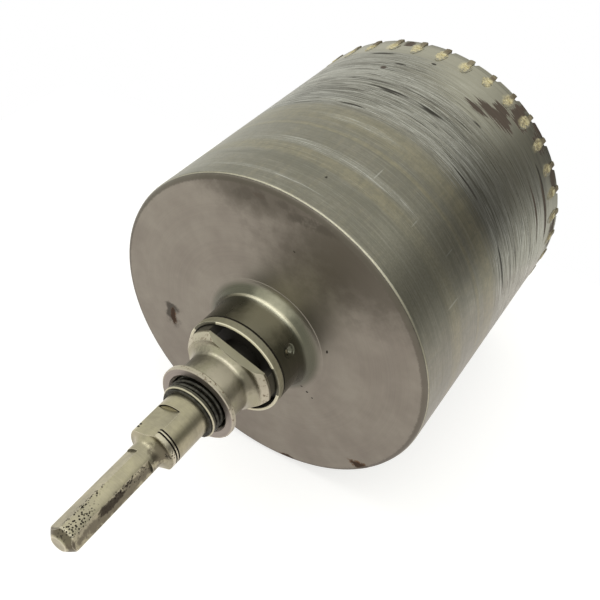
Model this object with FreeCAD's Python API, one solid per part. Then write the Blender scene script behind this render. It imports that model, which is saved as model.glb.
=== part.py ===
import FreeCAD, Part
import math
import os

V = FreeCAD.Vector
os.makedirs("parts", exist_ok=True)

# All sizes are in mm. The tool's axis is Y: the shank's end is at y = 0 and the cutting rim is towards +Y.
# Angles are in degrees about that axis, from straight up (+Z) towards +X.

# Clearances, and how far a cutting shape runs past the metal
slide_gap = 0.08
fit_gap = 0.05
key_gap = 0.2
stop_gap = 0.3
over = 3.0

# How far the wide bevels bulge, as turned bevels do once they are worn
bevel_crown = 0.08

# Straight shank for a three-jaw chuck
shank_r = 6.5
shank_tip_r = 3.4
shank_end = 46.2
flat_dist = 5.32
flat_end = 43.0
flat_angles = [-38.5, 81.5, 201.5]
root_fillet = 3.4
shoulder_y = shank_end + root_fillet

# Spindle, whose front is a collar with two spanner flats and two turned rings
spindle_r = 10.5
shoulder_round = 0.6
spanner_dist = 8.5
spanner_length = 15.0
spanner_end = shoulder_y + spanner_length
spanner_angles = [-19.0, 161.0]
ring_cut_ys = [shoulder_y + 2.45, shoulder_y + 3.85]
ring_cut_width = 0.5
ring_cut_deep = 0.4

# Snap ring and the spring's seat
collar_length = 21.7
snap_y = shoulder_y + collar_length
snap_thick = 1.0
snap_deep = 0.5
snap_high = 1.6
snap_gap_angle = 150.0
snap_gap_width = 5.0
snap_in_r = spindle_r - snap_deep
snap_out_r = spindle_r + snap_high
seat_y = snap_y + snap_thick
seat_thick = 1.7
seat_r = spindle_r + 2.45

# Lock spring
wire = 1.8
spring_y = seat_y + seat_thick
spring_length = 19.2
active_turns = 4.6
dead_turns = 1.0

# Hub, and the play that the sleeve's keys and the neck leave round it
hub_r = 21.8
neck_play = 0.1
key_thick = 4.3
key_out_r = hub_r
key_in_r = key_out_r - key_thick

# Lock sleeve
flange_y = spring_y + 4.0
flange_thick = 2.6
spring_play = 0.65
sleeve_wall = 1.3
flange_high = 3.2
mouth_bevel = 1.1
spring_bore_r = seat_r + spring_play
waist_r = spring_bore_r + sleeve_wall
flange_r = waist_r + flange_high
spring_stop_y = spring_y + spring_length
waist_length = 13.5
flare_y = flange_y + waist_length
flare_r = 4.0
lobe_step = 0.1
collar_r = hub_r + neck_play
collar_bevel = 2.6
collar_land = 1.0
collar_y = flare_y + flare_r + lobe_step
collar_end = collar_y + collar_bevel + collar_land
lobe_flat_dist = 16.5
lobe_flat_angles = [18.7, 138.7, 258.7]
key_length = 18.1
key_end = collar_end + key_length
key_angles = [80.0, 200.0, 320.0]
key_half_angle = 14.0

# Neck and its mouth ring
mouth_y = collar_end + 3.6
mouth_length = 4.0
neck_y = mouth_y + mouth_length
neck_in_r = hub_r + neck_play
neck_wall = 1.7
neck_out_r = neck_in_r + neck_wall
mouth_ring_r = neck_out_r + fit_gap
mouth_ring_in_r = neck_in_r + 0.3
dimple_y = neck_y + 8.1
dimple_r = 3.5
dimple_deep = 1.55
dimple_angles = [60.0, 180.0, 300.0]
lug_high = 1.6
lug_r = neck_in_r - lug_high

# Hub with its bayonet, and the nose that carries the centre drill
hub_y = neck_y + 1.5
lug_gap = 0.3
lug_floor_r = lug_r - lug_gap
pocket_half = 4.0
pocket_angle = 54.0
slot_spare = 1.0

# End plate
neck_fillet = 6.5
neck_length = 19.6
plate_y = neck_y + neck_length
step_high = 0.15
plate_lip = 1.6
plate_thick = 3.0
plate_edge = 2.4
plate_end = plate_y + plate_thick

# Barrel
barrel_r = 79.5
wall = 2.5
heel_bevel = 0.4
barrel_length = 148.5
barrel_y = plate_y + plate_lip
barrel_end = barrel_y + barrel_length
plate_r = barrel_r - heel_bevel
spigot_r = barrel_r - wall - fit_gap

# Cutting tips, their seats and gullets, and the braze
tip_count = 38
tip_proud = 0.5
tip_inside = 0.6
tip_width = 2.6
tip_seat = 7.3
tip_ahead = 0.7
tip_slope = 1.0
tip_land = 0.5
tip_bevel = 0.45
tip_in_r = barrel_r - wall - tip_inside
tip_out_r = barrel_r + tip_proud
tip_y = barrel_end - tip_seat
tip_end = barrel_end + tip_ahead
gullet_deep = 2.2
gullet_floor = 1.1
gullet_slope = 1.2
braze_thick = 0.18
braze_wide = 3.2
braze_drop = 5.9

# Nose with the centre drill, its insert and its set screw
hub_end = plate_end + 1.6
nose_r = 12.0
nose_length = 17.0
nose_end = hub_end + nose_length
drill_r = 4.25
drill_held = 35.0
drill_start = nose_end - drill_held
drill_end = barrel_end + 8.5
point_high = 4.5
flute_start = nose_end + 8.0
flute_r = 3.0
flute_dist = drill_r + 0.35
flute_pitch = 62.0
insert_thick = 1.6
insert_deep = 6.5
insert_proud = 0.15
screw_y = nose_end - 8.0
screw_angle = 20.0
screw_r = 2.9
screw_flat = 0.35
screw_sunk = 1.0
socket_across = 3.0
socket_deep = 3.2


def turn(profile):
    """A solid of revolution.

    A step is (r, y) for a line, or (r, y, r, y) for an arc through the first pair.
    """
    edges = []
    last = profile[0][-2:]
    for step in profile[1:] + [profile[0][-2:]]:
        here = V(last[0], last[1], 0)
        there = V(step[-2], step[-1], 0)
        if len(step) == 4:
            edges.append(Part.Arc(here, V(step[0], step[1], 0), there).toShape())
        elif here.distanceToPoint(there) > 1e-7:
            edges.append(Part.makeLine(here, there))
        last = step[-2:]
    face = Part.Face(Part.Wire(edges))
    return face.revolve(V(0, 0, 0), V(0, 1, 0), 360)


def hollow(r):
    """How far the middle of a quarter round of radius r lies from each of the two lines that it joins."""
    return r * (1 - math.sqrt(0.5))


def spun(shape, angle):
    shape.rotate(V(0, 0, 0), V(0, 1, 0), angle)
    return shape


def block(width, y0, y1, r0, r1, angle):
    """A box that stands on the axis at an angle, centred on it."""
    return spun(Part.makeBox(width, y1 - y0, r1 - r0, V(-width / 2, y0, r0)), angle)


def sector(r0, r1, y0, y1, a0, a1):
    """Part of a ring, from angle a0 to a1."""
    corners = [V(0, y0, r0), V(0, y0, r1), V(0, y1, r1), V(0, y1, r0), V(0, y0, r0)]
    face = Part.Face(Part.makePolygon(corners))
    return spun(face.revolve(V(0, 0, 0), V(0, 1, 0), a1 - a0), a0)


def slab(points, r0, r1, angle):
    """A flat outline of (sideways, y) points, raised from r0 to r1 at an angle."""
    corners = [V(t, y, r0) for t, y in points]
    face = Part.Face(Part.makePolygon(corners + [corners[0]]))
    return spun(face.extrude(V(0, 0, r1 - r0)), angle)


def radial(profile, y, angle):
    """A turned form whose own axis points out from the tool's axis. Each step is (own radius, height)."""
    corners = [V(r, y, h) for r, h in profile]
    face = Part.Face(Part.makePolygon(corners + [corners[0]]))
    return spun(face.revolve(V(0, y, 0), V(0, 0, 1), 360), angle)


def coil(points, section_r):
    """A round section swept along a smooth curve through points."""
    curve = Part.BSplineCurve()
    curve.interpolate(points)
    start = curve.parameter(points[0])
    circle = Part.Circle(points[0], curve.tangent(start)[0], section_r)
    return Part.Wire(curve.toShape()).makePipeShell([Part.Wire(circle.toShape())], True, True)


def save(name, shape):
    shape = shape.removeSplitter()
    shape.exportStep("parts/" + name + ".step")
    print(name, "solids", len(shape.Solids), "volume", round(shape.Volume, 1), "valid", shape.isValid())


# Arbor: one bar, turned and milled


def arbor_blank():
    shoulder_r = spindle_r - shoulder_round
    turned_in = hollow(shoulder_round)
    foot = shoulder_r - root_fillet
    edge = 1.0
    shank_mid_r = (shank_r + shank_tip_r) / 2 + bevel_crown
    return turn([
        (0, 0),
        (shank_tip_r, 0),
        (shank_mid_r, shank_mid_r - shank_tip_r - 2 * bevel_crown, shank_r, shank_r - shank_tip_r),
        (shank_r, shank_end),
        (foot, shank_end),
        (foot + hollow(root_fillet), shoulder_y - hollow(root_fillet), shoulder_r, shoulder_y),
        (spindle_r - turned_in, shoulder_y + turned_in, spindle_r, shoulder_y + shoulder_round),
        (spindle_r, snap_y - fit_gap),
        (snap_in_r, snap_y - fit_gap),
        (snap_in_r, seat_y + fit_gap),
        (spindle_r, seat_y + fit_gap),
        (spindle_r, hub_y),
        (hub_r - edge / 2, hub_y),
        (hub_r, hub_y + edge / 2),
        (hub_r, hub_end - edge),
        (hub_r - edge, hub_end),
        (nose_r, hub_end),
        (nose_r, nose_end - edge),
        (nose_r - edge, nose_end),
        (0, nose_end),
    ])


def bayonet_cuts():
    """Three key slots, a way in for each lug of the neck, and the pocket that the lug turns into."""
    cuts = []
    floor = key_in_r - key_gap
    half = key_half_angle + slot_spare
    way_half = half - 2 * slot_spare
    pocket_y0 = dimple_y - pocket_half
    pocket_y1 = dimple_y + pocket_half
    for k, angle in enumerate(key_angles):
        start = hub_y - over
        cuts.append(sector(floor, hub_r + over, start, key_end + stop_gap, angle - half, angle + half))
        way_in = (angle - way_half, angle + way_half)
        cuts.append(sector(lug_floor_r, hub_r + over, start, hub_end + over, *way_in))
        end_angle = angle - key_half_angle
        turned_to = pocket_angle + 120 * k
        cuts.append(sector(lug_floor_r, hub_r + over, pocket_y0, pocket_y1, turned_to, end_angle))
    return cuts


def arbor():
    cuts = [block(2 * shank_r + over, -over, flat_end, flat_dist, shank_r + over, a) for a in flat_angles]
    wide = 2 * spindle_r + over
    for angle in spanner_angles:
        cuts.append(block(wide, shank_end, spanner_end, spanner_dist, spindle_r + over, angle))
    for y in ring_cut_ys:
        cuts.append(turn([
            (spindle_r - ring_cut_deep, y),
            (spindle_r + over, y),
            (spindle_r + over, y + ring_cut_width),
            (spindle_r - ring_cut_deep, y + ring_cut_width),
        ]))
    cuts += bayonet_cuts()
    bore_y = drill_start - fit_gap
    cuts.append(Part.makeCylinder(drill_r + fit_gap, nose_end, V(0, bore_y, 0), V(0, 1, 0)))
    low = drill_r / 2
    high = nose_r + over
    cuts.append(radial([(0, low), (screw_r, low), (screw_r, high), (0, high)], screw_y, screw_angle))
    return arbor_blank().cut(cuts)


# Snap ring and spring seat


def snap_ring():
    edge = 0.2
    ring = turn([
        (snap_in_r, snap_y),
        (snap_out_r - edge, snap_y),
        (snap_out_r - hollow(edge), snap_y + hollow(edge), snap_out_r, snap_y + edge),
        (snap_out_r, seat_y - edge),
        (snap_out_r - hollow(edge), seat_y - hollow(edge), snap_out_r - edge, seat_y),
        (snap_in_r, seat_y),
    ])
    low = snap_in_r - over
    high = snap_out_r + over
    return ring.cut(block(snap_gap_width, snap_y - over, seat_y + over, low, high, snap_gap_angle))


def spring_seat():
    front_edge = 0.45
    back_edge = 0.2
    bore = spindle_r + slide_gap
    return turn([
        (bore, seat_y),
        (seat_r - front_edge, seat_y),
        (seat_r, seat_y + front_edge),
        (seat_r, spring_y - back_edge),
        (seat_r - back_edge, spring_y),
        (bore, spring_y),
    ])


# Lock spring, with closed ends ground flat


def lock_spring():
    coil_r = seat_r - wire / 2
    ground = wire / 4
    steps_per_turn = 14
    dead_pitch = wire * 1.04
    dead_rise = dead_pitch * dead_turns
    pitch = (spring_length - 2 * ground - 2 * dead_rise) / active_turns
    turns = active_turns + 2 * dead_turns
    points = []
    for i in range(int(round(turns * steps_per_turn)) + 1):
        t = min(i / steps_per_turn, turns)
        closed = min(t, dead_turns) + max(t - dead_turns - active_turns, 0)
        rise = dead_pitch * closed + pitch * (t - closed)
        a = math.radians(360 * t + 200)
        points.append(V(coil_r * math.sin(a), spring_y + ground + rise, coil_r * math.cos(a)))
    space = Part.makeCylinder(seat_r + over, spring_length, V(0, spring_y, 0), V(0, 1, 0))
    return coil(points, wire / 2).common(space)


# Lock sleeve


def lock_sleeve():
    flange_end = flange_y + flange_thick
    bore = spindle_r + slide_gap
    flare_end = flare_y + flare_r
    bevel_mid_r = collar_r - collar_bevel / 2 + bevel_crown
    bevel_mid_y = collar_y + collar_bevel / 2 - bevel_crown
    corner = 0.9
    front_edge = 0.35
    back_edge = 0.5
    body = turn([
        (spring_bore_r, flange_y + mouth_bevel),
        (spring_bore_r + mouth_bevel, flange_y),
        (flange_r - front_edge, flange_y),
        (flange_r, flange_y + front_edge),
        (flange_r, flange_end - back_edge),
        (flange_r - back_edge, flange_end),
        (waist_r + corner, flange_end),
        (waist_r + hollow(corner), flange_end + hollow(corner), waist_r, flange_end + corner),
        (waist_r, flare_y),
        (waist_r + hollow(flare_r), flare_end - hollow(flare_r), waist_r + flare_r, flare_end),
        (waist_r + flare_r, collar_y),
        (collar_r - collar_bevel, collar_y),
        (bevel_mid_r, bevel_mid_y, collar_r, collar_y + collar_bevel),
        (collar_r, collar_end),
        (bore, collar_end),
        (bore, spring_stop_y),
        (spring_bore_r, spring_stop_y),
    ])
    high = collar_r + over
    end = collar_end + over
    body = body.cut([block(2 * high, flare_y, end, lobe_flat_dist, high, a) for a in lobe_flat_angles])
    keys = []
    for angle in key_angles:
        sides = (angle - key_half_angle, angle + key_half_angle)
        keys.append(sector(key_in_r, key_out_r, collar_end - collar_land, key_end, *sides))
    return body.fuse(keys)


# Neck: mouth ring and end plate


def mouth_ring():
    inner_edge = 0.25
    outer_edge = 0.4
    return turn([
        (mouth_ring_in_r, mouth_y + inner_edge),
        (mouth_ring_in_r + inner_edge, mouth_y),
        (mouth_ring_r - outer_edge, mouth_y),
        (mouth_ring_r, mouth_y + outer_edge),
        (mouth_ring_r, neck_y - inner_edge),
        (mouth_ring_r - inner_edge, neck_y),
        (mouth_ring_in_r, neck_y),
    ])


def dimple(angle):
    """The pressed dent on the outside of the neck, as a cutting form.

    It has a shallow shoulder round a deeper bowl.
    """
    low = neck_out_r - dimple_deep
    steps = [(0, 0), (0.27, 0.1), (0.43, 0.42), (0.58, 0.64), (0.8, 0.77), (1, 1.08)]
    curve = Part.BSplineCurve()
    places = [V(share * dimple_r, dimple_y, low + deep * dimple_deep) for share, deep in steps]
    curve.interpolate(places, InitialTangent=V(1, 0, 0), FinalTangent=V(1, 0, 1))
    top = neck_out_r + over
    corners = [V(dimple_r, dimple_y, top), V(0, dimple_y, top), V(0, dimple_y, low)]
    walls = Part.makePolygon([curve.EndPoint] + corners)
    face = Part.Face(Part.Wire([curve.toShape()] + walls.Edges))
    return spun(face.revolve(V(0, dimple_y, 0), V(0, 0, 1), 360), angle)


def lug(angle):
    """The same dent's inner side, which is one lug of the bayonet."""
    foot = neck_in_r + neck_wall / 3
    steps = [(0, lug_r), (0.35, lug_r), (0.5, lug_r + lug_gap), (0.55, foot), (0, foot)]
    return radial([(share * dimple_r, height) for share, height in steps], dimple_y, angle)


def end_plate():
    neck_edge = 0.25
    fillet_y = plate_y - step_high - neck_fillet
    step_r = neck_out_r + neck_fillet
    mid_r = neck_out_r + hollow(neck_fillet)
    inner = neck_fillet - neck_wall
    edge_rise = plate_edge - plate_lip
    edge_r = plate_r - math.sqrt(plate_edge ** 2 - edge_rise ** 2)
    half = math.acos(edge_rise / plate_edge) / 2
    edge_mid = (edge_r + plate_edge * math.sin(half), plate_y + plate_edge * (1 - math.cos(half)))
    spigot_edge = 0.5
    shape = turn([
        (neck_in_r, neck_y),
        (neck_out_r - neck_edge, neck_y),
        (neck_out_r, neck_y + neck_edge),
        (neck_out_r, fillet_y),
        (mid_r, plate_y - step_high - hollow(neck_fillet), step_r, plate_y - step_high),
        (step_r + 2 * step_high, plate_y),
        (edge_r, plate_y),
        edge_mid + (plate_r, barrel_y),
        (spigot_r, barrel_y),
        (spigot_r, plate_end - spigot_edge),
        (spigot_r - spigot_edge, plate_end),
        (neck_in_r + inner, plate_end),
        (neck_in_r + hollow(inner), plate_end - hollow(inner), neck_in_r, plate_end - inner),
    ])
    lugs = [lug(angle) for angle in dimple_angles]
    dents = [dimple(angle) for angle in dimple_angles]
    return shape.fuse(lugs).cut(dents)


# Barrel with seats and gullets for the tips


def tip_angle(k):
    return (k + 0.5) * 360 / tip_count


def barrel_tube():
    in_r = barrel_r - wall
    heel_long = 2.5 * heel_bevel
    edge = 0.2
    tube = turn([
        (in_r, barrel_y),
        (barrel_r - heel_bevel, barrel_y),
        (barrel_r, barrel_y + heel_long),
        (barrel_r, barrel_end - edge),
        (barrel_r - hollow(edge), barrel_end - hollow(edge), barrel_r - edge, barrel_end),
        (in_r, barrel_end),
    ])
    side = tip_width / 2
    low = barrel_end - gullet_deep
    top = barrel_end + over
    inside = in_r - over
    outside = barrel_r + over
    far = side + gullet_floor + gullet_slope
    cuts = []
    for k in range(tip_count):
        cuts.append(block(tip_width, tip_y, top, inside, outside, tip_angle(k)))
        corners = [(0, low), (side + gullet_floor, low), (far, barrel_end - edge), (far, top), (0, top)]
        cuts.append(slab(corners, inside, outside, tip_angle(k)))
    return tube.cut(cuts)


def tip(k):
    side = tip_width / 2
    body = slab([(-side, tip_y), (side, tip_y), (side, tip_end), (side - tip_land, tip_end),
                 (-side, tip_end - tip_slope)], tip_in_r, tip_out_r, 0)
    wide = tip_width + over
    bevel = Part.makeBox(wide, over, over, V(-wide / 2, 0, 0))
    bevel.rotate(V(0, 0, 0), V(1, 0, 0), -45)
    bevel.translate(V(0, tip_end - tip_bevel, tip_out_r))
    return spun(body.cut(bevel), tip_angle(k))


def braze():
    """What ran out of each joint and froze as a thin fan on the wall: a group, one pad for each tip."""
    skin = turn([
        (barrel_r, tip_y - 3 * braze_drop),
        (barrel_r + braze_thick, tip_y - 3 * braze_drop),
        (barrel_r + braze_thick, barrel_end),
        (barrel_r, barrel_end),
    ])
    outline = [(-0.9, 0.37), (-1.03, 0.05), (-0.76, -0.5), (-0.45, -0.93), (0.07, -1), (0.48, -0.7),
               (0.69, -0.33), (0.8, 0.1), (0.45, 0.42), (-0.45, 0.56)]
    pads = []
    for k in range(tip_count):
        sway = 0.17 * math.sin(2.3 * k)
        drop = braze_drop * (1 + 0.18 * math.sin(1.7 * k + 1))
        fan = slab([(braze_wide * (share + sway), tip_y + drop * fall) for share, fall in outline],
                   barrel_r - over, barrel_r + over, tip_angle(k))
        seat = block(tip_width, tip_y, tip_end, tip_in_r, tip_out_r + over, tip_angle(k))
        pads.append(fan.common(skin).cut(seat))
    return Part.makeCompound([solid for pad in pads for solid in pad.Solids])


# Centre drill with its insert and its set screw


def pilot_tip():
    half = drill_r + insert_proud
    root = drill_end - insert_deep
    corners = [V(-half, root, 0), V(half, root, 0), V(half, drill_end, 0), V(0, drill_end + point_high, 0),
               V(-half, drill_end, 0), V(-half, root, 0)]
    plate = Part.Face(Part.makePolygon(corners)).extrude(V(0, 0, insert_thick))
    plate.translate(V(0, 0, -insert_thick / 2))
    return plate


def fluted_part():
    """The drill's spiral part: one outline with two round flutes, turned a step further at each height."""
    steps_per_turn = 8
    length = drill_end - flute_start
    across = (drill_r ** 2 - flute_r ** 2 + flute_dist ** 2) / (2 * flute_dist)
    half = math.sqrt(drill_r ** 2 - across ** 2)
    web = flute_dist - flute_r
    corners = [(across, half), (web, 0), (across, -half), (0, -drill_r), (-across, -half), (-web, 0),
               (-across, half), (0, drill_r), (across, half)]
    count = int(math.ceil(length / flute_pitch * steps_per_turn))
    outlines = []
    for i in range(count + 1):
        points = [V(x, flute_start + length * i / count, z) for x, z in corners]
        arcs = [Part.Arc(points[k], points[k + 1], points[k + 2]).toShape() for k in (0, 2, 4, 6)]
        outlines.append(spun(Part.Wire(arcs), 360 * length * i / (count * flute_pitch)))
    return Part.makeLoft(outlines, True)


def pilot_drill():
    edge = 0.6
    rod = turn([
        (0, drill_start),
        (drill_r - edge, drill_start),
        (drill_r, drill_start + edge),
        (drill_r, flute_start),
        (0, flute_start),
    ])
    seat_half = screw_r + 2 * edge
    seat_y0 = screw_y - seat_half
    seat_y1 = screw_y + seat_half
    seat = block(2 * drill_r, seat_y0, seat_y1, drill_r - screw_flat, drill_r + over, screw_angle)
    return rod.fuse(fluted_part()).cut([pilot_tip(), seat])


def pilot_screw():
    point = 0.7
    edge = 0.4
    low = drill_r - screw_flat
    top = nose_r - screw_sunk
    body = radial([(0, low), (screw_r - point, low), (screw_r, low + point), (screw_r, top - edge),
                   (screw_r - edge, top), (0, top)], screw_y, screw_angle)
    corner_r = socket_across / math.sqrt(3)
    corners = []
    for i in range(7):
        a = math.radians(60 * i)
        corners.append(V(corner_r * math.cos(a), screw_y + corner_r * math.sin(a), top - socket_deep))
    socket = Part.Face(Part.makePolygon(corners)).extrude(V(0, 0, socket_deep + over))
    return body.cut(spun(socket, screw_angle))


save("arbor", arbor())
save("snap_ring", snap_ring())
save("spring_seat", spring_seat())
save("lock_spring", lock_spring())
save("lock_sleeve", lock_sleeve())
save("mouth_ring", mouth_ring())
save("end_plate", end_plate())
save("barrel_tube", barrel_tube())
for k in range(tip_count):
    save("tip_%02d" % (k + 1), tip(k))
save("braze", braze())
save("pilot_drill", pilot_drill())
save("pilot_tip", pilot_tip())
save("pilot_screw", pilot_screw())
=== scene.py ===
import bpy
import math
from mathutils import Matrix, Vector


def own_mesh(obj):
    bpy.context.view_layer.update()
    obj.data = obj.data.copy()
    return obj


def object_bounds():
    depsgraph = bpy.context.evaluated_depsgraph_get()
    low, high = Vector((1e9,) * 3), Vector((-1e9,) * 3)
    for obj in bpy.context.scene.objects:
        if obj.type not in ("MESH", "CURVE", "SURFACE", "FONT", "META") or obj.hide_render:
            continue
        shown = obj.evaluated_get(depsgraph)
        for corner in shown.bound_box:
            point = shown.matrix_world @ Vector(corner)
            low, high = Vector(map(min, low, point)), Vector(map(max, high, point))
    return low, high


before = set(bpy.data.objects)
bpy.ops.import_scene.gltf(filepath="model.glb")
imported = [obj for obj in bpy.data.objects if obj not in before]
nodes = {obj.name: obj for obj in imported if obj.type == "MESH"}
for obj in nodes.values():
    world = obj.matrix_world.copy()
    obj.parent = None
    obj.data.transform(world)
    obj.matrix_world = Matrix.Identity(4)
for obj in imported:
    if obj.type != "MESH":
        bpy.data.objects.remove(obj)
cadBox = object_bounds()
print("frame loaded:", len(nodes), "nodes")

# The tool's axis is Y, with the shank's end at 0 and the cutting rim at the far end.
# Angles go round that axis, from straight up towards +X. Patterns are laid out in millimetres.
# A spot is its centre and then its half sizes: angle and y on the wrapped wall, radius and y on the profile,
# or x, y and z, in mm and degrees. A pair of numbers is where a zone is nothing yet and where it is whole.


def toLinear(hexColour):
    shares = [int(hexColour[i:i + 2], 16) / 255 for i in (1, 3, 5)]
    return [share / 12.92 if share <= 0.04045 else ((share + 0.055) / 1.055) ** 2.4 for share in shares] + [1]


def addNode(tree, kind, inputs=None, out=0, **settings):
    # Adds one node, sets it up, links or fills its inputs and hands back the output that is wanted
    node = tree.nodes.new("ShaderNode" + kind)
    for name, value in settings.items():
        setattr(node, name, value)
    for name, value in (inputs or {}).items():
        if isinstance(value, bpy.types.NodeSocket):
            tree.links.new(value, node.inputs[name])
        elif isinstance(value, str):
            node.inputs[name].default_value = toLinear(value)
        else:
            node.inputs[name].default_value = value
    return node if out is None else node.outputs[out]


def readPlace(tree):
    # Where a point of the surface lies: mm, distance from the tool's axis, angle and place along the profile
    metres = addNode(tree, "TexCoord", out="Object")
    mm = addNode(tree, "VectorMath", {0: metres, "Scale": 1000}, operation="SCALE")
    xyz = addNode(tree, "SeparateXYZ", {0: mm}, out=None).outputs
    acrossAxis = addNode(tree, "VectorMath", {0: mm, 1: (1, 0, 1)}, operation="MULTIPLY")
    radius = addNode(tree, "VectorMath", {0: acrossAxis}, out="Value", operation="LENGTH")
    turn = addNode(tree, "Math", {0: xyz["X"], 1: xyz["Z"]}, operation="ARCTAN2")
    angle = addNode(tree, "Math", {0: turn}, operation="DEGREES")
    along = addNode(tree, "Math", {0: xyz["Y"], 1: radius}, operation="ADD")
    return {
        "mm": mm, "y": xyz["Y"], "radius": radius, "angle": angle,
        "profile": addNode(tree, "CombineXYZ", {0: radius, 1: xyz["Y"]}),
        "wrapped": addNode(tree, "CombineXYZ", {0: angle, 1: xyz["Y"]}),
        "lathe": addNode(tree, "CombineXYZ", {0: xyz["X"], 1: along, 2: xyz["Z"]}),
    }


def readTooth(tree, place):
    # Where a point lies against the nearest cutting tip: mm sideways from its middle, and y
    turns = addNode(tree, "Math", {0: place["angle"], 1: tips["count"] / 360}, operation="MULTIPLY")
    share = addNode(tree, "Math", {0: turns}, operation="FRACT")
    sideways = addNode(tree, "MapRange", {0: share, 3: -tips["pitch"] / 2, 4: tips["pitch"] / 2})
    return addNode(tree, "CombineXYZ", {0: sideways, 1: place["y"]})


def streaks(tree, vector, sizes, low, high, shift):
    # Noise stretched to a size in mm along each axis of the vector
    stretch = tuple(1 / size for size in sizes)
    sized = addNode(tree, "Mapping", {0: vector, 1: (shift, shift, shift), 3: stretch})
    noise = addNode(tree, "TexNoise", {"Vector": sized, "Scale": 1.0, "Detail": 4.0, "Roughness": 0.55})
    return addNode(tree, "MapRange", {0: noise, 1: low, 2: high}, interpolation_type="SMOOTHSTEP")


def turningMarks(tree, place, width, length, low=0.3, high=0.7, shift=0.0):
    # Streaks round the axis, as a lathe or the wall of a hole leaves them
    return streaks(tree, place["lathe"], (length, width, length), low, high, shift)


def dripMarks(tree, place, width, length, low=0.3, high=0.7, shift=0.0):
    # Streaks along the axis, as oil leaves when it runs and dries
    return streaks(tree, place["mm"], (width, length, width), low, high, shift)


def mottle(tree, place, size, low=0.3, high=0.7, detail=3.0, shift=0.0):
    # Soft patches about size mm across
    moved = addNode(tree, "Mapping", {0: place["mm"], 1: (shift, shift, shift)})
    noise = addNode(tree, "TexNoise", {"Vector": moved, "Scale": 1 / size, "Detail": detail, "Roughness": 0.6})
    return addNode(tree, "MapRange", {0: noise, 1: low, 2: high}, interpolation_type="SMOOTHSTEP")


def nearSpots(tree, vector, spots, ragged=None, reach=0.0, soft=0.25):
    # A mask that is 1 inside the spots, with edges that ragged breaks up
    nearest = None
    for spot in spots:
        count = len(spot) // 2
        centre, halfSize = [*spot[:count], 0][:3], [*spot[count:], 1][:3]
        local = addNode(tree, "Mapping", {0: vector, 1: centre, 3: halfSize}, vector_type="TEXTURE")
        distance = addNode(tree, "VectorMath", {0: local}, out="Value", operation="LENGTH")
        if nearest is None:
            nearest = distance
        else:
            nearest = addNode(tree, "Math", {0: nearest, 1: distance}, operation="MINIMUM")
    if ragged is not None:
        nearest = addNode(tree, "Math", {0: ragged, 1: -reach, 2: nearest}, operation="MULTIPLY_ADD")
    return addNode(tree, "MapRange", {0: nearest, 1: 1 + soft - reach / 2, 2: 1 - soft - reach / 2},
                   interpolation_type="SMOOTHSTEP")


def wornEdges(tree, place, width, patchSize=1.5):
    # Bright metal where handling rubs each sharp edge, width mm wide and broken up by patches
    shape = addNode(tree, "NewGeometry", out="Normal")
    rounded = addNode(tree, "Bevel", {"Radius": width / 1000}, samples=6)
    same = addNode(tree, "VectorMath", {0: shape, 1: rounded}, out="Value", operation="DOT_PRODUCT")
    patches = mottle(tree, place, patchSize)
    limit = addNode(tree, "MapRange", {0: patches, 3: 0.93, 4: 0.99})
    return addNode(tree, "MapRange", {0: same, 1: limit, 2: 0.9}, interpolation_type="SMOOTHSTEP")


def layOver(tree, under, over, pattern, share=1.0, zone=1.0):
    # One finish over another, by a pattern weakened to a share and kept inside a zone
    weaker = addNode(tree, "Math", {0: pattern, 1: share}, operation="MULTIPLY")
    mask = addNode(tree, "Math", {0: weaker, 1: zone}, operation="MULTIPLY")
    colour = addNode(tree, "Mix", {0: mask, 6: under["colour"], 7: over["colour"]}, out=2, data_type="RGBA")
    return {
        "colour": colour,
        "roughness": addNode(tree, "Mix", {0: mask, 2: under["roughness"], 3: over["roughness"]}),
        "metal": addNode(tree, "Mix", {0: mask, 2: under["metal"], 3: over["metal"]}),
    }


def startMaterial(name):
    material = bpy.data.materials.new(name)
    material.use_nodes = True
    material.node_tree.nodes.clear()
    return material, material.node_tree


def finishMaterial(material, surface, height, depth):
    # depth is how far the relief goes, in mm, where height is 1
    tree = material.node_tree
    normal = addNode(tree, "Bump", {"Height": height, "Distance": depth / 1000, "Strength": 1.0})
    shader = addNode(tree, "BsdfPrincipled", {
        "Base Color": surface["colour"], "Roughness": surface["roughness"], "Metallic": surface["metal"],
        "Normal": normal})
    addNode(tree, "OutputMaterial", {"Surface": shader}, out=None)
    print("material:", material.name)
    return material


def dress(nodeNames, material):
    for name in nodeNames:
        for slot in nodes[name].material_slots:
            slot.material = material


# Rust on the rim, plate and shank: dull brown iron oxide. Grime, near black, in pits and seams; near black
# painted shade in the run-outs, in the recesses and behind the sleeve.
rust = {"colour": "#49372B", "roughness": 0.8, "metal": 0.5}
rustDark = {"colour": "#2B1F18", "roughness": 0.8, "metal": 0.7}
rustLight = {"colour": "#7A5B44", "roughness": 0.9, "metal": 0.0}
grimeAndShade = {"colour": "#26221D", "roughness": 0.7, "metal": 0.85}
recessShade = {"colour": "#34312B", "roughness": 0.6, "metal": 0.0}

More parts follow.
